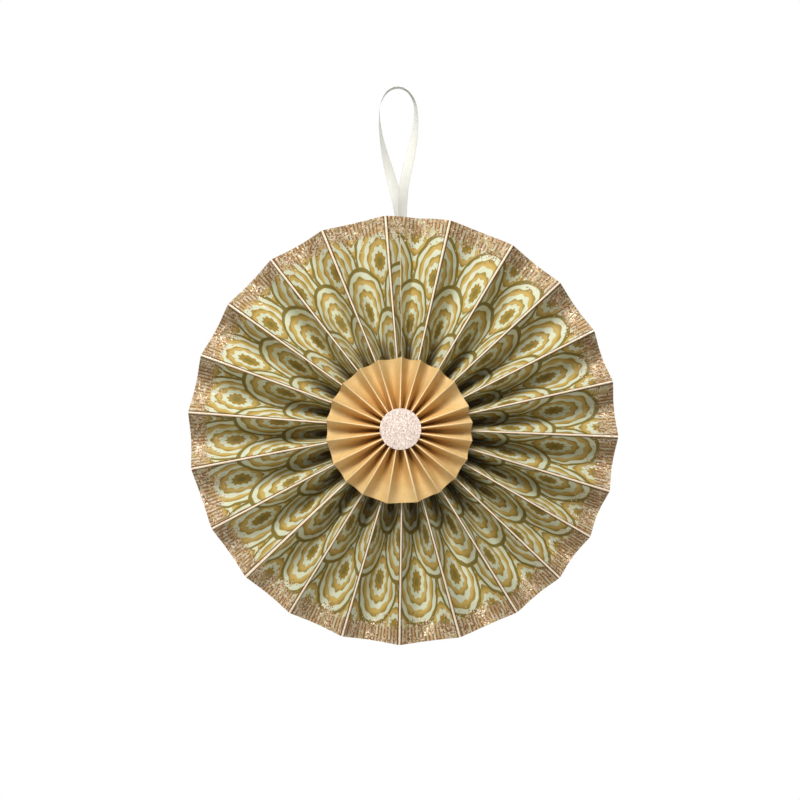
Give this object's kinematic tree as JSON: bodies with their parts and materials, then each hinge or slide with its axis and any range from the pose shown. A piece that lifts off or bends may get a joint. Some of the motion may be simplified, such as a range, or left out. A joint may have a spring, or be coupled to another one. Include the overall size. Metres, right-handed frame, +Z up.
{
  "type": "paper fan rosette",
  "caption": "Round hanging decoration of pleated printed paper, with a small kraft fan and a glitter disc glued at its centre and a satin ribbon loop at the top.",
  "frame": {"origin": "on the hub's axis, at the rear face of the card disc behind the hub, which is the plane of the wall", "axes": "+Z up towards the ribbon loop, +Y towards the wall, the front looks along -Y"},
  "size_m": [0.2695, 0.0333, 0.3529],
  "materials": {
    "printed_paper": "matt coated paper with an olive and ochre print on pale green and a rose gold rim",
    "kraft_paper": "smooth golden kraft paper",
    "glitter_card": "fine pale rose glitter on card",
    "plain_card": "matt uncoated card",
    "satin_ribbon": "ivory satin"
  },
  "bodies": {
    "root": {"long_printed_strip": "printed_paper", "short_printed_strip": "printed_paper", "kraft_fan": "kraft_paper", "glitter_disc": "glitter_card", "front_disc": "plain_card", "back_disc": "plain_card", "hanging_ribbon": "satin_ribbon"}
  },
  "joints": []
}
